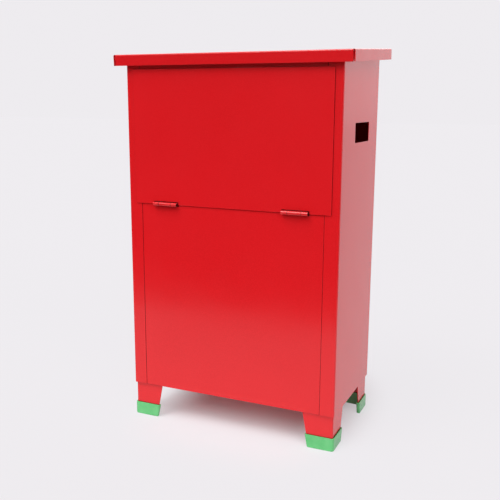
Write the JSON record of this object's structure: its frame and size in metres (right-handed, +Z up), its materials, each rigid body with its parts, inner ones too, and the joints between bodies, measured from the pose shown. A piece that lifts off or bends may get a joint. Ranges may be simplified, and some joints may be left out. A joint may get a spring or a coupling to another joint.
{
  "type": "fire extinguisher cabinet",
  "caption": "Floor-standing folded-steel fire extinguisher cabinet with sloping flip lid, fold-down front flap on rolled hinges, side hand holes and short tapered legs in green shoes.",
  "frame": {"origin": "on the floor, at the centre of the overall box in plan", "axes": "+Z up, -Y towards the front with the flap, +X to the right seen from the front"},
  "size_m": [0.4028, 0.2224, 0.635],
  "materials": {
    "red_paint": "glossy red powder coat on folded steel sheet",
    "green_plastic": "satin green moulded plastic shoe",
    "dark_steel": "dark plain steel hinge pin"
  },
  "bodies": {
    "cabinet": {"left_side_wall": "red_paint", "right_side_wall": "red_paint", "back_panel": "red_paint", "lower_front_panel": "red_paint", "header_rail": "red_paint", "floor_pan": "red_paint", "leg_front_left": "red_paint", "leg_front_right": "red_paint", "leg_rear_left": "red_paint", "leg_rear_right": "red_paint", "flap_hinge_base_left": "red_paint", "flap_hinge_base_right": "red_paint", "lid_hinge_base_left": "red_paint", "lid_hinge_base_right": "red_paint", "foot_cap_front_left": "green_plastic", "foot_cap_front_right": "green_plastic", "foot_cap_rear_left": "green_plastic", "foot_cap_rear_right": "green_plastic", "flap_hinge_pin_left": "dark_steel", "flap_hinge_pin_right": "dark_steel", "lid_hinge_pin_left": "dark_steel", "lid_hinge_pin_right": "dark_steel"},
    "flap": {"flap_panel": "red_paint", "flap_hinge_leaf_left": "red_paint", "flap_hinge_leaf_right": "red_paint"},
    "lid": {"lid_pan": "red_paint", "lid_hinge_leaf_left": "red_paint", "lid_hinge_leaf_right": "red_paint"}
  },
  "joints": [
    {"name": "flap_hinge", "type": "hinge", "parent": "cabinet", "child": "flap", "pos_m": [0, -0.10634, 0.3811], "axis": [1, 0, 0], "range_deg": [0, 180]},
    {"name": "lid_hinge", "type": "hinge", "parent": "cabinet", "child": "lid", "pos_m": [0, 0.10726, 0.61235], "axis": [-1, 0, 0], "range_deg": [0, 105]}
  ]
}
